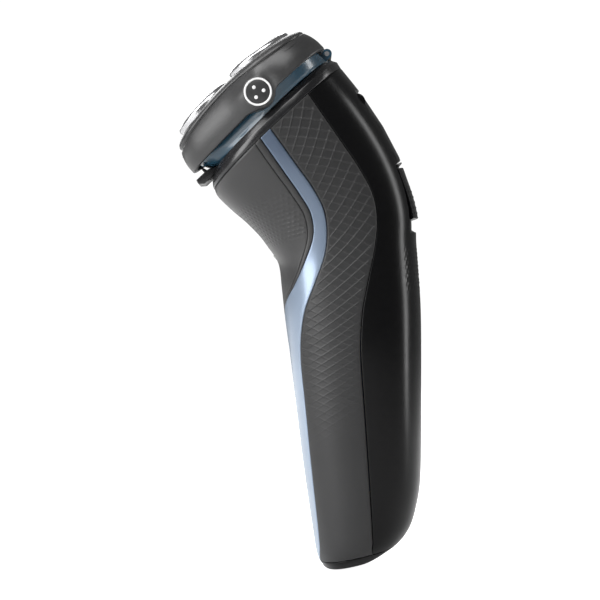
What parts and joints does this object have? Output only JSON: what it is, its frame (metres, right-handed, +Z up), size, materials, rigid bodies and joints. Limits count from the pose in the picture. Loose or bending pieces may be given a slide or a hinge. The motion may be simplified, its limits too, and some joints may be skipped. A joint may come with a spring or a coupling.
{
  "type": "electric shaver",
  "caption": "Cordless rotary electric shaver with a flexing head of round cutters, a flip-open hair chamber, a bent handle with diamond-pattern grips and a pop-up trimmer.",
  "frame": {"origin": "on the foot face at the bottom of the handle, in its middle, just behind the power socket", "axes": "+Z up the handle, -Y the front with the on/off button, +Y the back with the trimmer, +X the user's right"},
  "size_m": [0.0584, 0.0751, 0.164],
  "materials": {
    "grip_rubber": "matt soft-touch",
    "cover_gloss": "high gloss",
    "panel_satin": "satin",
    "trim_blue": "metallic satin",
    "collar_gloss": "gloss",
    "head_satin": "satin",
    "chamber_blue": "translucent tinted plastic",
    "steel_polished": "polished and brushed",
    "steel_spring": "plain",
    "white_print": "gloss",
    "black_plastic": "fine grain",
    "frame_plastic": "moulded",
    "gear_plastic": "acetal",
    "seal_rubber": "matt",
    "board_green": "solder mask",
    "battery_wrap": "shrink sleeve",
    "contact_brass": "plain",
    "lamp_clear": "clear",
    "magnet_black": "sintered"
  },
  "bodies": {
    "handle": {"left_grip": "grip_rubber", "right_grip": "grip_rubber", "back_cover": "cover_gloss", "front_trim": "trim_blue", "front_panel": "panel_satin", "charge_lamp": "lamp_clear", "collar_ring": "collar_gloss", "bottom_cap": "cover_gloss", "power_socket": "black_plastic", "socket_pins": "contact_brass", "hair_chamber": "chamber_blue", "head_hinge_pin": "steel_spring", "battery_cell": "battery_wrap", "battery_contacts": "contact_brass", "circuit_board": "board_green", "board_components": "black_plastic", "inner_frame": "frame_plastic", "tact_switch": "black_plastic", "switch_board": "board_green", "gearbox_lid": "frame_plastic", "gearbox_base": "frame_plastic", "gearbox_screws": "steel_spring", "spindle_seals": "seal_rubber", "motor_can": "steel_spring", "motor_bush": "contact_brass", "motor_magnets": "magnet_black", "trimmer_hinge_pin": "steel_spring"},
    "rotor": {"motor_rotor": "steel_spring", "motor_shaft": "steel_spring", "motor_pinion": "contact_brass"},
    "drive_1": {"drive_gear_1": "gear_plastic", "drive_spindle_1": "gear_plastic"},
    "drive_2": {"drive_gear_2": "gear_plastic", "drive_spindle_2": "gear_plastic"},
    "drive_3": {"drive_gear_3": "gear_plastic", "drive_spindle_3": "gear_plastic"},
    "button": {"on_off_button": "panel_satin"},
    "plunger": {"switch_plunger": "black_plastic"},
    "latch": {"head_latch": "black_plastic"},
    "carrier": {"head_carrier": "black_plastic"},
    "head": {"head_shell": "head_satin", "cap_plate": "head_satin", "left_emblem": "white_print", "right_emblem": "white_print", "retaining_frame": "frame_plastic"},
    "cap_ring_1": {"cap_carrier_1": "black_plastic"},
    "cap_1": {"guard_cap_1": "steel_polished"},
    "cutter_1": {"cutter_1": "steel_polished"},
    "cap_ring_2": {"cap_carrier_2": "black_plastic"},
    "cap_2": {"guard_cap_2": "steel_polished"},
    "cutter_2": {"cutter_2": "steel_polished"},
    "cap_ring_3": {"cap_carrier_3": "black_plastic"},
    "cap_3": {"guard_cap_3": "steel_polished"},
    "cutter_3": {"cutter_3": "steel_polished"},
    "trimmer": {"trimmer_arm": "cover_gloss", "trimmer_fixed_comb": "steel_polished"},
    "trimmer_blade": {"trimmer_moving_blade": "steel_polished"},
    "trimmer_slide": {"trimmer_slide": "black_plastic"}
  },
  "joints": [
    {"name": "motor_spin", "type": "hinge", "parent": "handle", "child": "rotor", "pos_m": [0, -0.01863, 0.13202], "axis": [0, -0.6756, 0.7373], "continuous": true},
    {"name": "drive_1_spin", "type": "hinge", "parent": "handle", "child": "drive_1", "pos_m": [0, -0.02969, 0.12188], "axis": [0, -0.6756, 0.7373], "continuous": true},
    {"name": "drive_2_spin", "type": "hinge", "parent": "handle", "child": "drive_2", "pos_m": [0.01299, -0.0131, 0.13708], "axis": [0, -0.6756, 0.7373], "continuous": true},
    {"name": "drive_3_spin", "type": "hinge", "parent": "handle", "child": "drive_3", "pos_m": [-0.01299, -0.0131, 0.13708], "axis": [0, -0.6756, 0.7373], "continuous": true},
    {"name": "on_off_press", "type": "slide", "parent": "handle", "child": "button", "axis": [0, 0.72, 0.694], "range_m": [0, 0.0005], "stiffness_N_per_m": 600},
    {"name": "switch_press", "type": "slide", "parent": "handle", "child": "plunger", "axis": [0, 0.72, 0.694], "range_m": [0, 0.0005]},
    {"name": "latch_press", "type": "slide", "parent": "handle", "child": "latch", "axis": [0, 0.7373, 0.6756], "range_m": [0, 0.0008], "stiffness_N_per_m": 800},
    {"name": "head_flip", "type": "hinge", "parent": "handle", "child": "carrier", "pos_m": [0, -0.00879, 0.15636], "axis": [-1, 0, 0], "range_deg": [0, 100]},
    {"name": "head_pivot", "type": "hinge", "parent": "carrier", "child": "head", "pos_m": [0, -0.0295, 0.1424], "axis": [1, 0, 0], "range_deg": [-4, 4], "stiffness_Nm_per_rad": 1.5},
    {"name": "cap_1_tilt", "type": "hinge", "parent": "head", "child": "cap_ring_1", "pos_m": [0, -0.04626, 0.13997], "axis": [1, 0, 0], "range_deg": [-2.5, 2.5], "stiffness_Nm_per_rad": 0.5},
    {"name": "cap_1_float", "type": "slide", "parent": "cap_ring_1", "child": "cap_1", "axis": [0, -0.7232, 0.6906], "range_m": [-0.0012, 0], "stiffness_N_per_m": 500, "springref_m": 0.0006},
    {"name": "cutter_1_spin", "type": "hinge", "parent": "cap_1", "child": "cutter_1", "pos_m": [0, -0.04626, 0.13997], "axis": [0, -0.7232, 0.6906], "continuous": true},
    {"name": "cap_2_tilt", "type": "hinge", "parent": "head", "child": "cap_ring_2", "pos_m": [0.01299, -0.02926, 0.15472], "axis": [-0.4991, -0.7223, -0.4788], "range_deg": [-2.5, 2.5], "stiffness_Nm_per_rad": 0.5},
    {"name": "cap_2_float", "type": "slide", "parent": "cap_ring_2", "child": "cap_2", "axis": [0.061, -0.5805, 0.812], "range_m": [-0.0012, 0], "stiffness_N_per_m": 500, "springref_m": 0.0006},
    {"name": "cutter_2_spin", "type": "hinge", "parent": "cap_2", "child": "cutter_2", "pos_m": [0.01299, -0.02926, 0.15472], "axis": [0.061, -0.5805, 0.812], "continuous": true},
    {"name": "cap_3_tilt", "type": "hinge", "parent": "head", "child": "cap_ring_3", "pos_m": [-0.01299, -0.02926, 0.15472], "axis": [-0.4991, 0.7223, 0.4788], "range_deg": [-2.5, 2.5], "stiffness_Nm_per_rad": 0.5},
    {"name": "cap_3_float", "type": "slide", "parent": "cap_ring_3", "child": "cap_3", "axis": [-0.061, -0.5805, 0.812], "range_m": [-0.0012, 0], "stiffness_N_per_m": 500, "springref_m": 0.0006},
    {"name": "cutter_3_spin", "type": "hinge", "parent": "cap_3", "child": "cutter_3", "pos_m": [-0.01299, -0.02926, 0.15472], "axis": [-0.061, -0.5805, 0.812], "continuous": true},
    {"name": "trimmer_swing", "type": "hinge", "parent": "handle", "child": "trimmer", "pos_m": [0, 0.00027, 0.14123], "axis": [1, 0, 0], "range_deg": [0, 65]},
    {"name": "trimmer_stroke", "type": "slide", "parent": "trimmer", "child": "trimmer_blade", "axis": [1, 0, 0], "range_m": [-0.0006, 0.0006], "stiffness_N_per_m": 200},
    {"name": "trimmer_slide_push", "type": "slide", "parent": "handle", "child": "trimmer_slide", "axis": [0, 0.3401, -0.9404], "range_m": [0, 0.003], "stiffness_N_per_m": 150}
  ],
  "couplings": [
    {"joint": "drive_1_spin", "follows": "motor_spin", "ratio": -1.1429},
    {"joint": "drive_2_spin", "follows": "motor_spin", "ratio": -1.1429},
    {"joint": "drive_3_spin", "follows": "motor_spin", "ratio": -1.1429},
    {"joint": "cutter_1_spin", "follows": "motor_spin", "ratio": -1.1429},
    {"joint": "cutter_2_spin", "follows": "motor_spin", "ratio": -1.1429},
    {"joint": "cutter_3_spin", "follows": "motor_spin", "ratio": -1.1429},
    {"joint": "switch_press", "follows": "on_off_press", "ratio": 1}
  ]
}
